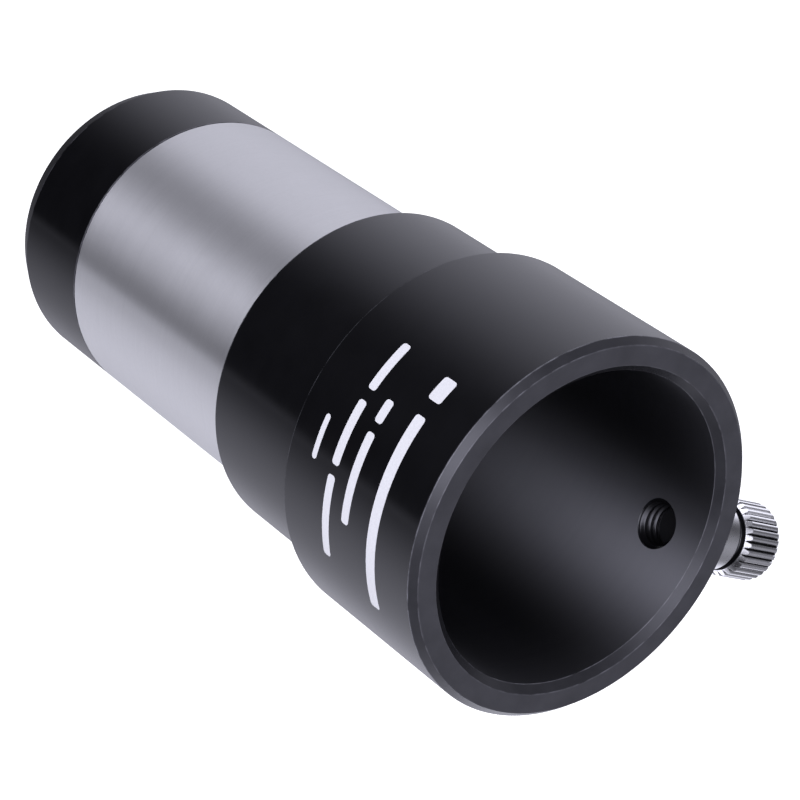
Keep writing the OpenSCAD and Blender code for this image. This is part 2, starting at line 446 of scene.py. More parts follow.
def ground_edge_finish(name="ground_edge_finish"):
    """The glasses' ground rims, blackened."""
    m = Nodes(name)
    pos = m.position()
    grit = m.noise(pos, 11.0, 4.0, 0.7)
    p = m.shader(Metallic=0.0, IOR=1.5)
    m.link(m.mix(grit, (0.012, 0.012, 0.013), (0.03, 0.03, 0.032)), p.inputs["Base Color"])
    m.link(m.ramp(grit, 0.3, 0.7, 0.6, 0.8), p.inputs["Roughness"])
    m.link(m.bump(grit, 0.01, 1.0), p.inputs["Normal"])
    return m.mat


def ink_finish(name="white_print_finish"):
    """Thin white screen print, slightly uneven at its surface."""
    m = Nodes(name)
    pos = m.position()
    grain = m.noise(pos, 8.0, 4.0, 0.65)
    p = m.shader(Metallic=0.0, IOR=1.46)
    c = m.mix(m.ramp(grain, 0.25, 0.75, 0.0, 1.0), (0.72, 0.72, 0.725), (0.86, 0.86, 0.865))
    m.link(c, p.inputs["Base Color"])
    m.link(m.ramp(grain, 0.3, 0.7, 0.42, 0.6), p.inputs["Roughness"])
    m.link(m.bump(grain, 0.012, 1.0), p.inputs["Normal"])
    return m.mat


BLACK = black_finish("black_anodised_finish", rough=0.13, spec=0.385, tint=(0.0030, 0.0030, 0.0036), wear=0.35)
# The front face: the same black anodising with a lighter grey base, which is painted light for the brightness the face
# catches. Its turning lines and rubbed edges are its own.
FACE_PAINTED_LIGHT = black_finish("turned_face_painted_light_finish", rough=0.40, spec=0.45, tint=(0.060, 0.060, 0.066), wear=0.35)
# The chamfers at the rim and the mouth: black anodising with a dark grey base, which is painted light for the
# brightness they catch. Their turning lines and rubbed edges are their own.
BEVEL_PAINTED_LIGHT = black_finish("turned_bevel_painted_light_finish", rough=0.24, spec=0.45, tint=(0.030, 0.030, 0.033), wear=0.9)
BORE = black_finish("black_bore_finish", rough=0.55, aniso=1.0, wear=0.0, metal=1.0, tint=(0.13, 0.13, 0.14), cloudy=0.0)
CELL = black_finish("black_cell_finish", rough=0.13, spec=0.365, tint=(0.0028, 0.0028, 0.0034), wear=0.35)
TAP = black_finish("tapped_hole_finish", rough=0.24, wear=0.0, axis="X", tint=(0.003, 0.003, 0.0034), spec=0.6)
# The screw's tip is near black, far darker than its plated thread
TIP = black_finish("dull_screw_tip_finish", rough=0.5, wear=0.0, axis="X", tint=(0.006, 0.006, 0.0065), spec=0.3)
SILVER = silver_finish()
CHROME = chrome_finish("bright_plate_finish", 0.26, base=(0.74, 0.74, 0.745))
# A dark copy of the plate for the collar's groove: painted shade
SHADE = chrome_finish("collar_groove_painted_shade_finish", 0.28, base=(0.11, 0.11, 0.115))
# A darker copy of the plate for the bottoms of the flutes: painted shade
FLUTE_SHADE = chrome_finish("knurl_flute_painted_shade_finish", 0.3, base=(0.20, 0.20, 0.205))
SHANK = chrome_finish("screw_thread_finish", 0.2, base=(0.62, 0.62, 0.63))
MATT = matt_finish("matt_black_finish")
RIBBED = matt_finish("matt_ribbed_finish", ribs=0.5)
SHIM = matt_finish("spacer_finish", tint=(0.02, 0.02, 0.021), rough=0.45)
CROWN = glass_finish("crown_glass_finish", 95.0, 1.52)
FLINT = glass_finish("flint_glass_finish", 110.0, 1.62)
GROUND = ground_edge_finish()
INK = ink_finish()


# ---------------------------------------------------------------- eyepiece holder
SEG = 384


def make_holder():
    """One closed mesh: the turned shape, with a tapped M5 hole let into the wide part."""
    half = 12
    hole_out, hole_in = 2.6, 2.5
    h_out, h_in = TAU * WIDE_R / SEG, TAU * BORE_R / SEG
    rows_out = [Z_SCREW + k * h_out for k in range(-half, half + 1)]
    rows_in = [Z_SCREW + k * h_in for k in range(half, -half - 1, -1)]
    rim_len, rim_h, mouth = 0.75, 0.65, 0.775
    corners = [
        (15.88, 0.0, 0.06), (NECK_R, 0.0, 0.22), (NECK_R, Z_STEP, 0.05), (WIDE_R, Z_STEP, 0.14)]
    corners += [(WIDE_R, z) for z in rows_out]
    corners += [
        (WIDE_R, Z_RIM - rim_len, 0.12), (WIDE_R - rim_h, Z_RIM, 0.09),
        (BORE_R + mouth, Z_RIM, 0.09), (BORE_R, Z_RIM - mouth, 0.10)]
    corners += [(BORE_R, z) for z in rows_in]
    corners += [(BORE_R, FLOOR_Z, 0.05), (15.5, FLOOR_Z, 0.05), (15.5, 0.6, 0.0), (15.88, 0.6, 0.0)]
    pts, nin, nout, flags = corner_path(corners)
    n = len(pts)
    ang = np.arange(SEG) * TAU / SEG
    verts, normals, faces, fmat = [], [], [], []
    for i in range(n):
        verts.extend(place(pts[i][0], pts[i][1], ang, "z"))
    edge = list(np.repeat(flags, SEG))

    def row_of(r, z):
        d = np.hypot(pts[:, 0] - r, pts[:, 1] - z)
        assert d.min() < 1e-6
        return int(d.argmin())

    i_out0, i_out1 = row_of(WIDE_R, rows_out[0]), row_of(WIDE_R, rows_out[-1])
    i_in0, i_in1 = row_of(BORE_R, rows_in[0]), row_of(BORE_R, rows_in[-1])

    def in_window(j):
        return j < half or j >= SEG - half

    def surface(mid, nn):
        if abs(mid[0] - BORE_R) < 0.02 and FLOOR_Z < mid[1] < Z_RIM - mouth:
            return 1
        if mid[1] < 3.2 and mid[0] < 16.2:
            return 1
        # Slot 3, the front face, takes the grey base of painted light
        if mid[1] > Z_RIM - 0.02:
            return 3
        # Slot 4, the chamfers at the mouth and the rim, takes the grey base of painted light
        if mid[1] > Z_RIM - mouth - 0.02 and mid[0] > BORE_R + 0.01 and (mid[0] < 17 or mid[1] > Z_RIM - rim_len):
            return 4
        return 0

    for i in range(n):
        k = (i + 1) % n
        hole = (i_out0 <= i < i_out1) or (i_in0 <= i < i_in1)
        m = surface((pts[i] + pts[k]) / 2, nout[i])
        Ni, Nk = turn(nout[i], ang, "z"), turn(nin[k], ang, "z")
        for j in range(SEG):
            if hole and in_window(j):
                continue
            l = (j + 1) % SEG
            faces.append((i * SEG + j, i * SEG + l, k * SEG + l, k * SEG + j))
            normals += [Ni[j], Ni[l], Nk[l], Nk[j]]
            fmat.append(m)

    # Windows: from the square of grid points to the hole's edge
    def ring_of(row_for, z_sign):
        """Grid indexes round the window, counterclockwise seen from outside."""
        out = []
        s = half
        path = [(s, t) for t in range(-s, s)] + [(t, s) for t in range(s, -s, -1)] + \
               [(-s, t) for t in range(s, -s, -1)] + [(t, -s) for t in range(-s, s)]
        for a, b in path:
            out.append((row_for(b) * SEG + (a % SEG), a, b))
        return out

    outer = ring_of(lambda b: i_out0 + (b + half), 1)
    inner = ring_of(lambda b: i_in1 - (b + half), 1)
    W = len(outer)
    STEPS = 7

    def window(ring, R, pitch_mm, hole_r, sign, mat):
        """Rings of vertices from the window's border to the hole's edge; returns the indexes at the edge and their angles."""
        alphas = np.array([math.atan2(b, a) for _, a, b in ring])
        border = [(a * pitch_mm, b * pitch_mm) for _, a, b in ring]
        prev = [v for v, _, _ in ring]
        for t in range(1, STEPS + 1):
            w = 1 - (1 - t / STEPS) ** 1.35
            cur = []
            for (s, zz), al in zip(border, alphas):
                cy, cz = hole_r * math.cos(al), hole_r * math.sin(al)
                cs = R * math.asin(cy / R)
                ss, z2 = s * (1 - w) + cs * w, zz * (1 - w) + cz * w
                cur.append(len(verts))
                verts.append(np.array([R * math.cos(ss / R), R * math.sin(ss / R), Z_SCREW + z2]))
                edge.append(0.0 if t < STEPS else (0.5 if sign > 0 else 0.2))
            for q in range(W):
                u = (q + 1) % W
                f = (prev[q], prev[u], cur[u], cur[q]) if sign > 0 else (prev[u], prev[q], cur[q], cur[u])
                faces.append(f)
                for v in f:
                    p = verts[v]
                    normals.append(np.array([sign * p[0] / R, sign * p[1] / R, 0.0]))
                fmat.append(mat)
            prev = cur
        return prev, alphas

    edge_out, al = window(outer, WIDE_R, h_out, hole_out, 1, 0)
    edge_in, al2 = window(inner, BORE_R, h_in, hole_in, -1, 1)

    # The tapped wall between the two edges, right-handed, pitch 0.8
    major, minor, pitch = 2.5, 2.5 - 0.433, 0.8
    NW = 70
    prev = edge_out
    for t in range(1, NW + 1):
        last = t == NW
        cur = []
        for q in range(W):
            po, pi_ = verts[edge_out[q]], verts[edge_in[q]]
            x = po[0] + (pi_[0] - po[0]) * t / NW
            if last:
                cur = edge_in
                break
            depth_out, depth_in = po[0] - x, x - pi_[0]
            ridge = tooth((x - X_TIP) / pitch - al[q] / TAU + HELIX)
            r = major - (major - minor) * ridge
            r = max(r, hole_out - depth_out * 1.0, hole_in - depth_in * 1.0)
            cur.append(len(verts))
            verts.append(np.array([x, r * math.cos(al[q]), Z_SCREW + r * math.sin(al[q])]))
            edge.append(0.25 * float(ridge))
        for q in range(W):
            u = (q + 1) % W
            faces.append((prev[q], prev[u], cur[u], cur[q]))
            normals += [np.zeros(3)] * 4
            fmat.append(2)
        prev = cur
    # Points of the two walls that lie inside the cut-out hole belong to no face
    used = sorted({k for f in faces for k in f})
    new = {k: i for i, k in enumerate(used)}
    verts = [verts[k] for k in used]
    edge = [edge[k] for k in used]
    faces = [tuple(new[k] for k in f) for f in faces]
    edge_out = [new[k] for k in edge_out]
    edge_in = [new[k] for k in edge_in]
    me_ob = put("holder_shell", verts, faces, None, edge, [BLACK, BORE, TAP, FACE_PAINTED_LIGHT, BEVEL_PAINTED_LIGHT], fmat)
    me = me_ob.data
    # Crisp edges round the hole, so the tapped wall keeps its own shading
    marks = set()
    for ring in (edge_out, edge_in):
        for q in range(W):
            marks.add(tuple(sorted((ring[q], ring[(q + 1) % W]))))
    sharp = np.array([tuple(sorted(e.vertices)) in marks for e in me.edges], dtype=bool)
    at = me.attributes.get("sharp_edge") or me.attributes.new("sharp_edge", "BOOLEAN", "EDGE")
    at.data.foreach_set("value", sharp)
    me.normals_split_custom_set([tuple(v) for v in normals])
    return me_ob


# Where the M5 thread's ridge starts round the screw; the hole and the screw share it, half a pitch apart
HELIX = 0.0
holder = make_holder()
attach(holder, "tube")
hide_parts("eyepiece_holder")


# ---------------------------------------------------------------- barrel
def make_barrel():
    """The silver nosepiece: turned outside, black and finely ribbed inside, with the cell's thread at its rear."""
    seg = 256
    bt = 0.12
    top = 3.0
    spig = 15.45
    z_thread = -27.0
    rows = []

    def line(a, b, k):
        for t in range(k):
            rows.append((a[0] + (b[0] - a[0]) * t / k, a[1] + (b[1] - a[1]) * t / k))

    # Outline counterclockwise: rear edge, outside, relief, spigot, top, inside, thread
    outside = corner_path([
        (14.25 + 0.15, Z_BARREL_END, 0.0), (BARREL_R, Z_BARREL_END, 0.13), (BARREL_R, -0.3, 0.08), (15.6, -0.3, 0.03),
        (15.6, 0.62, 0.0), (spig, 0.62, 0.0), (spig, top, 0.06), (14.0, top, 0.1), (14.0, z_thread - 0.0, 0.0),
        (14.25, z_thread - 0.25, 0.0)])
    pts, nin, nout, flags = outside
    ang = np.arange(seg) * TAU / seg
    verts, faces, normals, fmat, edge = [], [], [], [], []
    for i in range(len(pts)):
        verts.extend(place(pts[i][0], pts[i][1], ang, "z"))
        edge += [flags[i]] * seg
    for i in range(len(pts) - 1):
        k = i + 1
        mid = (pts[i] + pts[k]) / 2
        m = 0 if (mid[0] > 15.5 or mid[1] > 0.6 and mid[0] > 14.3 or mid[1] < -30.9) else 1
        Ni, Nk = turn(nout[i], ang, "z"), turn(nin[k], ang, "z")
        for j in range(seg):
            l = (j + 1) % seg
            faces.append((i * seg + j, i * seg + l, k * seg + l, k * seg + j))
            normals += [Ni[j], Ni[l], Nk[l], Nk[j]]
            fmat.append(m)
    first, prev = 0, (len(pts) - 1) * seg
    # Internal thread, pitch 0.6, down to the rear edge
    z0, z1 = z_thread - 0.25, Z_BARREL_END
    NT = int((z0 - z1) / 0.05)
    for t in range(1, NT + 1):
        z = z0 + (z1 - z0) * t / NT
        fade = min(1.0, (z0 - z) / 0.3, max(0.0, (z - z1) / 0.35))
        ridge = tooth((z - Z_CELL_TIP) / 0.6 - ang / TAU + 0.5)
        r = 14.25 - 0.30 * ridge * fade + max(0.0, 0.15 - (z - z1)) * 1.0
        if t == NT:
            cur = first
        else:
            cur = len(verts)
            verts.extend(place(r, z, ang, "z"))
            edge += [0.0] * seg
        for j in range(seg):
            l = (j + 1) % seg
            faces.append((prev + j, prev + l, cur + l, cur + j))
            normals += [np.zeros(3)] * 4
            fmat.append(2)
        prev = cur
    ob = put("barrel_tube", verts, faces, None, edge, [SILVER, RIBBED, MATT], fmat)
    me = ob.data
    ends = {tuple(sorted((base + j, base + (j + 1) % seg))) for base in (first, (len(pts) - 1) * seg) for j in range(seg)}
    sharp = np.array([tuple(sorted(e.vertices)) in ends for e in me.edges], dtype=bool)
    at = me.attributes.get("sharp_edge") or me.attributes.new("sharp_edge", "BOOLEAN", "EDGE")
    at.data.foreach_set("value", sharp)
    me.normals_split_custom_set([tuple(v) for v in normals])
    return ob


barrel = make_barrel()
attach(barrel, "tube")
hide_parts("barrel")

baffle = revolve("baffle_ring", [
    (13.99, F_LO[2], 0.02), (13.99, F_HI[2], 0.02), (12.3, F_HI[2], 0.03), (12.3, F_HI[2] - 0.3, 0.03), (12.9, F_LO[2], 0.05)], 192, mats=[MATT])
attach(baffle, "tube")
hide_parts("barrel_baffle")


# ---------------------------------------------------------------- lens cell
def make_cell():
    """Black rear cell: thread for the barrel in front, seat and pocket for the glasses, filter thread behind."""
    seg = 256
    zf = -31.05
    z_tip = Z_CELL_TIP
    z_end = Z_CELL_END
    z_seat = zf + 1.55
    pocket = LENS_R + 0.1
    ring_r = 12.95 + 0.05
    z_ring = R_HI[2]
    z_filter = z_end + 3.5
    ang = np.arange(seg) * TAU / seg
    parts = []   # (radius array or number, z, normal in, normal out, wear, material from here on)

    def add_corners(corners, mat, closed=False):
        pts, nin, nout, flags = corner_path(corners)
        for i in range(len(pts)):
            parts.append((pts[i][0], pts[i][1], nin[i], nout[i], flags[i], mat))

    def thread(z_a, z_b, r_root, r_crest, seedz, mat, inside):
        k = int(abs(z_b - z_a) / 0.05)
        for t in range(1, k):
            z = z_a + (z_b - z_a) * t / k
            fade = min(1.0, abs(z - z_a) / 0.35, abs(z_b - z) / 0.35)
            ridge = tooth((z - seedz) / 0.6 - ang / TAU + (0.5 if inside else 0.0))
            parts.append((r_root + (r_crest - r_root) * ridge * fade, z, None, None, 0.0, mat))

    # Rear edge and outside, up to the front face, then in to the thread
    full = [
        (14.25, z_end, 0.08), (BARREL_R - 1.0, z_end, 0.15), (BARREL_R, z_end + 2.3, 0.35), (BARREL_R, zf, 0.14), (14.0, zf, 0.0)]
    pts, nin, nout, flags = corner_path([(14.25, z_end + 0.4, 0.0)] + full + [(13.9, zf + 0.2, 0.0), (13.9, z_end + 0.6, 0.0)])
    # The last two corners only closed the outline for the helper
    for i in range(len(pts) - 1):
        parts.append((pts[i][0], pts[i][1], nin[i], nout[i], flags[i], 0))
    thread(zf + 0.2, z_tip - 0.05, 13.9, 14.2, z_tip, 1, False)
    top = corner_path([(13.9, z_tip - 0.4, 0.0), (13.9, z_tip, 0.15), (seat_in, z_tip, 0.12), (seat_in, z_seat, 0.08), (pocket, z_seat, 0.0),
                       (pocket, z_ring + 0.3, 0.03), (ring_r, z_ring + 0.3, 0.0), (ring_r, z_filter, 0.03), (14.25, z_filter, 0.0), (14.25, z_filter - 0.1, 0.0), (20, z_filter - 0.1, 0), (20, z_tip - 0.4, 0)])
    pts, nin, nout, flags = top
    for i in range(1, len(pts) - 2):
        parts.append((pts[i][0], pts[i][1], nin[i], nout[i], flags[i], 2))
    thread(z_filter - 0.1, z_end + 0.4, 14.25, 13.95, z_end, 2, True)
    verts, faces, normals, fmat, edge = [], [], [], [], []
    for r, z, ni, no, w, m in parts:
        verts.extend(place(np.broadcast_to(r, (seg,)), z, ang, "z"))
        edge += [w] * seg
    n = len(parts)
    for i in range(n):
        k = (i + 1) % n
        m = parts[i][5]
        has = parts[i][3] is not None and parts[k][2] is not None
        if has:
            Ni, Nk = turn(parts[i][3], ang, "z"), turn(parts[k][2], ang, "z")
        for j in range(seg):
            l = (j + 1) % seg
            faces.append((i * seg + j, i * seg + l, k * seg + l, k * seg + j))
            normals += [Ni[j], Ni[l], Nk[l], Nk[j]] if has else [np.zeros(3)] * 4
            fmat.append(m)
    ob = put("cell_shell_body", verts, faces, None, edge, [CELL, MATT, MATT], fmat)
    me = ob.data
    kinds = [p[2] is None for p in parts]
    ends = set()
    for i in range(n):
        if kinds[i] != kinds[(i + 1) % n]:
            b = i if not kinds[i] else (i + 1) % n
            ends |= {tuple(sorted((b * seg + j, b * seg + (j + 1) % seg))) for j in range(seg)}
    sharp = np.array([tuple(sorted(e.vertices)) in ends for e in me.edges], dtype=bool)
    at = me.attributes.get("sharp_edge") or me.attributes.new("sharp_edge", "BOOLEAN", "EDGE")
    at.data.foreach_set("value", sharp)
    me.normals_split_custom_set([tuple(v) for v in normals])
    return ob


seat_in = LENS_R - 0.6
cell = make_cell()
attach(cell, "cell_shell")
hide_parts("lens_cell")


def make_ring():
    """Retaining ring with two spanner slots, and a chamfer round its bore."""
    seg = 240
    z0, z1 = R_LO[2], R_HI[2]
    ro, ri = 12.95, 11.7
    slot_half = 0.6
    ang = np.arange(seg) * TAU / seg
    # Four corner rings plus chamfers; the slot lowers the outer face near +Y and -Y
    out = np.abs(np.cos(ang)) * 12.3 < slot_half
    drop = np.where(out, 0.7, 0.0)
    rows = [
        (ro, z0 + drop), (ro, z1), (ri, z1), (ri, z0 + 0.35 + np.where(out, 0.4, 0.0)), (ri + 0.3, z0 + 0.05 + drop), (ri + 0.32, z0 + drop)]
    return relief("retaining_ring_body", rows, seg, mats=[MATT], smooth_angle=28)


ring = make_ring()
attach(ring, "cell_shell")
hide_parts("lens_retaining_ring")


# ---------------------------------------------------------------- glasses
def sag(R, h):
    return R - math.sqrt(R * R - h * h)


def make_glass(name, z_front, z_back, front, back, edge_front, edge_back, mat):
    """A lens from its two surfaces. front and back give the surface's height at radius h."""
    seg, rings = 128, 24
    ang = np.arange(seg) * TAU / seg
    prof = []
    # Counterclockwise: axis at the back, out along the back, up the rim, in along the front
    hs = [LENS_R * math.sin(math.pi / 2 * k / rings) for k in range(rings + 1)]
    for h in hs[:-1]:
        prof.append((h, back(h), 0))
    prof.append((LENS_R - 0.12, back(LENS_R - 0.12), 1))
    prof.append((LENS_R, edge_back + 0.1, 1))
    prof.append((LENS_R, edge_front - 0.1, 1))
    prof.append((LENS_R - 0.12, front(LENS_R - 0.12), 0))
    for h in reversed(hs[:-1]):
        prof.append((h, front(h), 0))
    prof = [p for k, p in enumerate(prof) if not (LENS_R - 0.12 < p[0] < LENS_R)]
    verts, faces, fmat, index = [], [], [], []
    for r, z, m in prof:
        if r < 1e-6:
            index.append(np.full(seg, len(verts))); verts.append(np.array([0, 0, z]))
        else:
            index.append(np.arange(seg) + len(verts)); verts.extend(place(r, z, ang, "z"))
    for i in range(len(prof) - 1):
        k = i + 1
        for j in range(seg):
            l = (j + 1) % seg
            if prof[i][0] < 1e-6:
                faces.append((index[i][0], index[k][l], index[k][j]))
            elif prof[k][0] < 1e-6:
                faces.append((index[i][j], index[i][l], index[k][0]))
            else:
                faces.append((index[i][j], index[i][l], index[k][l], index[k][j]))
            fmat.append(1 if prof[i][2] else 0)
    return put(name, verts, faces, None, None, [mat, GROUND], fmat, 24)


Z_CR1, Z_CR0 = G1_HI[2], G1_LO[2]
crown = make_glass("crown_glass", Z_CR1, Z_CR0,
                   lambda h: Z_CR1 - sag(47.3, LENS_R) + sag(47.3, h),
                   lambda h: Z_CR0 + sag(30.0, LENS_R) - sag(30.0, h), Z_CR1, Z_CR0, CROWN)
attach(crown, "cell_glass")
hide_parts("crown_element")

bulge = LENS_R - 0.6
Z_FL1 = P_LO[2]
Z_FL0 = G2_LO[2]
flint = make_glass("flint_glass", Z_FL1, Z_FL0,
                   lambda h: Z_FL1 + (sag(30.5, bulge) - sag(30.5, h) if h < bulge else 0.0),
                   lambda h: Z_FL0 + sag(95.0, LENS_R) - sag(95.0, h), Z_FL1, Z_FL0, FLINT)
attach(flint, "cell_glass")
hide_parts("flint_element")

spacer = revolve("spacer_ring", [
    (LENS_R, P_LO[2], 0.03), (LENS_R, P_HI[2], 0.03), (LENS_R - 0.5, P_HI[2], 0.03), (LENS_R - 0.5, P_LO[2], 0.03)], 128, mats=[SHIM])
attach(spacer, "cell_glass")
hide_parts("lens_spacer")


# ---------------------------------------------------------------- thumbscrew
def make_shank():
    """M5 x 0.8 threaded rod with a chamfered tip."""
    seg = 96
    ang = np.arange(seg) * TAU / seg
    x0, x1 = X_TIP, S_HI[0]
    crest, root, pitch = 2.42, 2.42 - 0.45, 0.8
    rows = [(np.full(seg, 1.95), np.full(seg, x0))]
    k = int((x1 - x0) / 0.05)
    for t in range(1, k + 1):
        x = x0 + (x1 - x0) * t / k
        ridge = tooth((x - X_TIP) / pitch - ang / TAU + HELIX + 0.5)
        r = root + (crest - root) * ridge
        r = np.minimum(r, 1.95 + (x - x0) * 1.0)
        if x > X_COLLAR + 0.3:
            r = np.full(seg, crest)
        rows.append((r, np.full(seg, x)))
    tip = int(0.95 / 0.05)
    return relief("screw_thread", rows, seg, axis="x", mats=[SHANK, TIP], mat_of=lambda i: 1 if i < tip else 0, smooth_angle=40, caps=(True, True))


def make_head():
    """Thumbscrew head: collar, groove, bevel and a knurl of straight flutes, with a turned end."""
    flutes, sub = 32, 16
    seg = flutes * sub
    ang = np.arange(seg) * TAU / seg
    knob, depth, collar = 3.95, 0.40, 3.5
    xg, xk, xn = X_COLLAR + 1.85, X_COLLAR + 2.67, X_COLLAR + 3.30
    xe = X_END
    u = (np.arange(seg) % sub) / sub          # 0 to 1 across a flute
    d = np.abs(u - 0.5) * 2                   # 0 in the middle of the groove, 1 on the land
    groove = np.clip(1 - d / 0.46, 0, 1)
    crown_ = np.clip((d - 0.46) / 0.54, 0, 1)
    land = knob - 0.05 * (1 - crown_) ** 2 - depth * groove
    outline = corner_path([
        (2.45, X_COLLAR, 0.05), (collar, X_COLLAR, 0.18), (collar, xg, 0.07), (collar - 0.6, xg, 0.08), (collar - 0.6, xk, 0.08),
        (collar, xk, 0.08), (knob, xn, 0.12), (knob, xe - 0.33, 0.08), (knob - 0.30, xe, 0.10), (2.75, xe, 0.10), (2.45, xe - 0.22, 0.10),
        (0.0, xe - 0.22, 0.0), (0.0, X_END - 2.7, 0.0), (2.45, X_END - 2.7, 0.05)])
    pts, nin, nout, flags = outline
    dense, de = [], []
    for i in range(len(pts)):
        a, b = pts[i], pts[(i + 1) % len(pts)]
        dense.append(a); de.append(flags[i])
        if max(a[0], b[0]) > collar + 0.02 and np.linalg.norm(b - a) > 0.05 and a[1] > xk - 0.05 and a[1] < xe + 0.01 and min(a[0], b[0]) > 3.3:
            k = max(1, int(np.linalg.norm(b - a) / (0.05 if not (abs(a[0] - knob) < 1e-3 and abs(b[0] - knob) < 1e-3) else 0.35)))
            for t in range(1, k):
                dense.append(a + (b - a) * t / k); de.append(0.0)
    verts, faces, fmat, index, edge = [], [], [], [], []
    for (r, x), e in zip(dense, de):
        if r < 1e-6:
            index.append(np.full(seg, len(verts))); verts.append(np.array([x, 0.0, Z_SCREW])); edge.append(0.0)
            continue
        rr = np.full(seg, r)
        if x > xk and r > 3.3:
            rr = np.minimum(rr, land + 0.0)
        index.append(np.arange(seg) + len(verts)); verts.extend(place(rr, x, ang, "x")); edge += [e] * seg
    n = len(dense)
    for i in range(n):
        k = (i + 1) % n
        z0, z1 = dense[i][0] < 1e-6, dense[k][0] < 1e-6
        if z0 and z1:
            continue
        mx, mr = (dense[i][1] + dense[k][1]) / 2, (dense[i][0] + dense[k][0]) / 2
        # The collar's groove takes the dark copy of the plate: painted shade
        groove_shade = 1 if xg - 0.01 < mx < xk + 0.01 and 2.6 < mr < collar - 0.1 else 0
        knurl = mx > xn - 0.35 and mr > 3.45
        for j in range(seg):
            l = (j + 1) % seg
            if z0:
                faces.append((index[i][0], index[k][l], index[k][j]))
            elif z1:
                faces.append((index[i][j], index[i][l], index[k][0]))
            else:
                faces.append((index[i][j], index[i][l], index[k][l], index[k][j]))
            # The bottom of each flute takes a darker copy of the plate: painted shade
            fmat.append(2 if knurl and abs((j + 0.5) % sub / sub - 0.5) * 2 < 0.27 else groove_shade)
    return put("thumbscrew_knob", verts, faces, None, edge, [CHROME, SHADE, FLUTE_SHADE], fmat, 28)


shank = make_shank()
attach(shank, "screw_head")
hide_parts("thumbscrew_shank")
head = make_head()
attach(head, "screw_head")
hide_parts("thumbscrew_head")


# ---------------------------------------------------------------- generic white print: plain bars, no lettering
def bar(name, a0, a1, z0, z1):
    """A thin raised bar of ink with rounded ends, wrapped round the wide part. Angles in degrees."""
    r0, r1 = WIDE_R - 0.02, WIDE_R + 0.014
    half = (z1 - z0) / 2
    zc = (z0 + z1) / 2
    rad = min(half, 0.35)
    length = math.radians(a1 - a0) * WIDE_R
    s = sorted(set([0.0, length] + [rad * (1 - math.cos(math.pi / 2 * k / 6)) for k in range(7)] +
                   [length - rad * (1 - math.cos(math.pi / 2 * k / 6)) for k in range(7)] +
                   list(np.linspace(rad, length - rad, max(2, int(length / 0.3))))))
    verts, faces = [], []
    for t in s:
        inset = 0.0
        e = min(t, length - t)
        if e < rad:
            inset = rad - math.sqrt(max(0.0, rad * rad - (rad - e) ** 2))
        h = max(half - inset, 0.02)
        a = math.radians(a0) + t / WIDE_R
        for r, z in ((r0, zc - h), (r1, zc - h), (r1, zc + h), (r0, zc + h)):
            verts.append((r * math.cos(a), r * math.sin(a), z))
    m = len(s)
    for i in range(m - 1):
        for k in range(4):
            l = (k + 1) % 4
            faces.append((i * 4 + k, (i + 1) * 4 + k, (i + 1) * 4 + l, i * 4 + l))
    faces.append((0, 1, 2, 3))
    faces.append(tuple((m - 1) * 4 + k for k in (3, 2, 1, 0)))
    ob = put(name, verts, faces, None, None, [INK], None, 30)
    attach(ob, "tube")
    return ob


BARS = [
    (150.0, 157.5, 28.9, 30.7), (162.5, 221.5, 29.1, 30.5),
    (163.8, 170.8, 24.9, 26.0), (173.8, 201.0, 24.9, 26.0),
    (148.8, 164.5, 21.9, 23.0), (168.0, 187.5, 21.9, 23.0), (190.5, 215.6, 21.9, 23.0),
    (176.6, 189.9, 18.9, 19.6)]
for i, b in enumerate(BARS):
    bar(f"print_bar_{i + 1}", *b)


# ---------------------------------------------------------------- floor, light and camera
def make_stage():
    me = bpy.data.meshes.new("floor")
    R = 3.0
    # Low enough for the lens cell to unscrew above it
    z = (Z_CELL_END - 3.7) * MM
    me.from_pydata([(-R, -R, z), (R, -R, z), (R, R, z), (-R, R, z)], [], [(0, 1, 2, 3)])
    ob = bpy.data.objects.new("floor", me)
    bpy.context.scene.collection.objects.link(ob)
    m = Nodes("floor_finish")
    pos = m.position()
    g = m.noise(pos, 0.02, 3.0, 0.5)
    d = m.add("ShaderNodeBsdfDiffuse")
    m.link(m.mix(g, (0.90, 0.90, 0.90), (0.93, 0.93, 0.93)), d.inputs["Color"])
    e = m.add("ShaderNodeEmission")
    e.inputs["Color"].default_value = (1, 1, 1, 1)
    e.inputs["Strength"].default_value = 0.93
    s = m.add("ShaderNodeAddShader")
    m.link(d.outputs[0], s.inputs[0])
    m.link(e.outputs[0], s.inputs[1])
    m.link(s.outputs[0], m.out.inputs["Surface"])
    me.materials.append(m.mat)
    # The world's lower half stands for the light that a table sends back, so the floor itself sends none
    m.mat.cycles.emission_sampling = "NONE"
    ob.visible_glossy = False
    ob.visible_diffuse = False


make_stage()


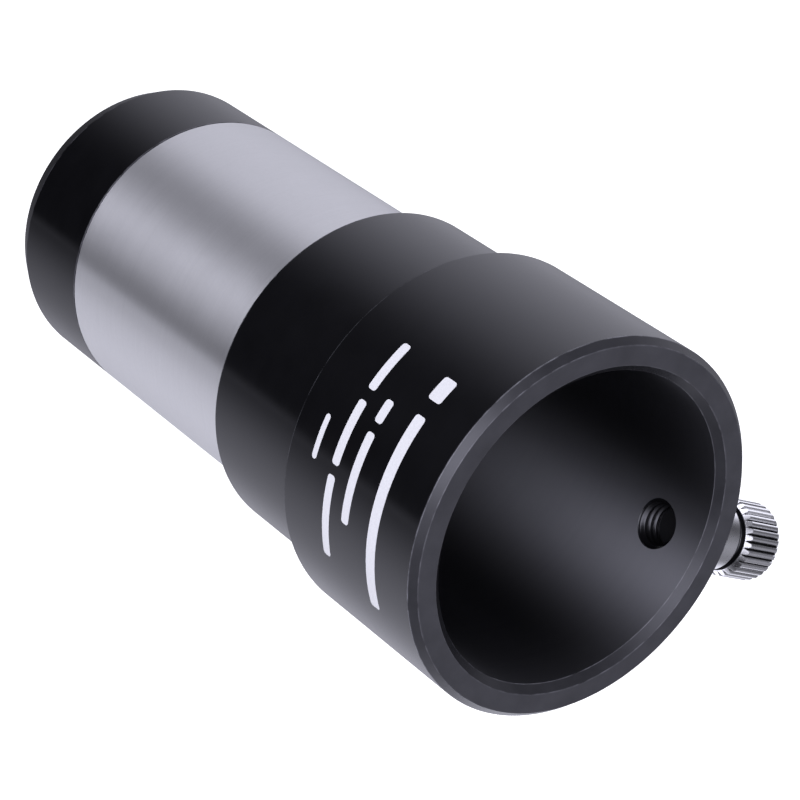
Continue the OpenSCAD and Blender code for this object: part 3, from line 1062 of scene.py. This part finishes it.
def make_world():
    """Soft studio light as a smooth function of direction: the sum of broad, soft lobes (azimuth, elevation, tightness, power).
    A pale table all round but at the front, a soft box above the camera and one behind the object."""
    w = bpy.data.worlds.new("studio")
    bpy.context.scene.world = w
    w.use_nodes = True
    t = w.node_tree
    t.nodes.clear()

    def add(kind, **props):
        n = t.nodes.new(kind)
        for k, v in props.items():
            setattr(n, k, v)
        return n

    def mth(op, a, b=None, clamp=False):
        n = add("ShaderNodeMath", operation=op, use_clamp=clamp)
        for i, v in enumerate((a, b)):
            if v is None:
                continue
            if isinstance(v, (int, float)):
                n.inputs[i].default_value = v
            else:
                t.links.new(v, n.inputs[i])
        return n.outputs[0]

    tc = add("ShaderNodeTexCoord")
    nrm = add("ShaderNodeVectorMath", operation="NORMALIZE")
    t.links.new(tc.outputs["Generated"], nrm.inputs[0])
    sep = add("ShaderNodeSeparateXYZ")
    t.links.new(nrm.outputs[0], sep.inputs[0])
    x, y, z = sep.outputs

    def lobes(table, start):
        total = start
        for az, ele, kappa, power in table:
            a, b = math.radians(az), math.radians(ele)
            d = (math.cos(b) * math.cos(a), math.cos(b) * math.sin(a), math.sin(b))
            dot = mth("ADD", mth("ADD", mth("MULTIPLY", x, d[0]), mth("MULTIPLY", y, d[1])), mth("MULTIPLY", z, d[2]))
            lobe = mth("EXPONENT", mth("MULTIPLY", mth("SUBTRACT", dot, 1.0), kappa))
            total = mth("ADD", mth("MULTIPLY", lobe, power), total)
        return total

    edge = math.radians(PANEL_EDGE + 90.0)
    side = mth("ADD", mth("MULTIPLY", x, math.cos(edge)), mth("MULTIPLY", y, math.sin(edge)))
    cut = mth("ADD", mth("MULTIPLY", side, 45.0), 0.5, clamp=True)
    mixv = mth("ADD", lobes(LOBES, AMBIENT), mth("MULTIPLY", cut, lobes(PANEL, 0.0)))
    # A thin bright line along the panel's edge
    off = mth("MULTIPLY", mth("SUBTRACT", side, STRIP[0]), 1.0 / STRIP[1])
    line = mth("EXPONENT", mth("MULTIPLY", mth("MULTIPLY", off, off), -1.0))
    mixv = mth("ADD", mixv, mth("MULTIPLY", line, lobes(STRIP_LOBES, 0.0)))
    tint = add("ShaderNodeVectorMath", operation="SCALE")
    tint.inputs[0].default_value = (0.97, 0.97, 1.11)
    t.links.new(mth("MAXIMUM", mixv, 0.0), tint.inputs["Scale"])
    bg = add("ShaderNodeBackground")
    t.links.new(tint.outputs[0], bg.inputs["Color"])
    bg.inputs["Strength"].default_value = 1.0
    white = add("ShaderNodeBackground")
    white.inputs["Color"].default_value = (1.0, 1.0, 1.0, 1)
    white.inputs["Strength"].default_value = 1.05
    lp = add("ShaderNodeLightPath")
    mx = add("ShaderNodeMixShader")
    t.links.new(lp.outputs["Is Camera Ray"], mx.inputs[0])
    t.links.new(bg.outputs[0], mx.inputs[1])
    t.links.new(white.outputs[0], mx.inputs[2])
    out = add("ShaderNodeOutputWorld")
    t.links.new(mx.outputs[0], out.inputs["Surface"])
    w.cycles.sampling_method = "MANUAL"
    w.cycles.sample_map_resolution = 512


AMBIENT = 0.009
LOBES = [
    (311.5, -70, 9, 0.05),
    (23.5, -70, 9, 0.02),
    (270.4, -42, 22, 0.37),
    (296.1, -42, 22, 0.39),
    (321.8, -42, 22, 0.24),
    (13.2, -42, 22, 0.36),
    (38.9, -42, 22, 0.41),
    (64.6, -42, 22, 0.62),
    (90.4, -42, 22, 0.49),
    (116.1, -42, 22, 0.04),
    (167.5, -15, 16, 0.76),
    (197.5, -15, 16, 0.15),
    (227.5, -15, 16, 0.88),
    (257.5, -15, 16, 2.08),
    (287.5, -15, 16, 1.36),
    (17.5, -15, 16, 0.28),
    (47.5, -15, 16, 1.56),
    (77.5, -15, 16, 1.69),
    (107.5, -15, 16, 2.26),
    (137.5, -15, 16, 0.23),
    (127, 6, 28, 0.58),
    (147, 6, 28, 0.19),
    (167, 6, 28, 2.03),
    (187, 6, 28, 1.31),
    (147, 26, 28, 1.36),
    (167, 26, 28, 2.39),
    (187, 26, 28, 1.57),
    (132, 46, 28, 0.58),
    (157, 46, 28, 1.68),
    (182, 46, 28, 1.59),
    (167, 66, 14, 0.95),
    (317, 28, 16, 0.15),
    (347, 28, 16, 0.1),
    (17, 28, 16, 0.08),
    (330, 50, 16, 0.25),
    (5, 50, 16, 0.2),
    (317.5, -15, 16, 1.1),
]
# The same kind of lobe, cut off sharply at an upright edge, as by the end of a table
PANEL_EDGE = 211.0
PANEL = [
    (244.6, -42, 22, 0.51),
    (227.5, -15, 16, 1.13),
]
# Offset and half width of the line, as sines, and how bright it is along its height
STRIP = (0.055, 0.018)
STRIP_LOBES = [(216.0, -42, 8, 0.10), (216.0, 0, 10, 1.2), (216.0, 35, 10, 1.5)]
make_world()

cam_data = bpy.data.cameras.new("camera")
cam = bpy.data.objects.new("camera", cam_data)
bpy.context.scene.collection.objects.link(cam)
right = Vector((0.73236, 0.37839, 0.56610))
down = Vector((0.15491, -0.90216, 0.40263))
fwd = Vector((0.66306, -0.20718, -0.71932))
fwd.normalize()
right = (right - fwd * right.dot(fwd)).normalized()
up_ = right.cross(fwd).normalized()
cam.matrix_world = Matrix((
    (right.x, up_.x, -fwd.x, -193.357 * MM),
    (right.y, up_.y, -fwd.y, 60.522 * MM),
    (right.z, up_.z, -fwd.z, 216.121 * MM),
    (0, 0, 0, 1)))
cam_data.sensor_fit = "HORIZONTAL"
cam_data.sensor_width = 36.0
cam_data.lens = 2951.6 / 800 * 36.0
cam_data.clip_start = 0.01
cam_data.clip_end = 20.0
bpy.context.scene.camera = cam

view = bpy.context.scene.view_settings
view.view_transform = "Standard"
view.look = "None"
view.exposure = 0.0
view.gamma = 1.0
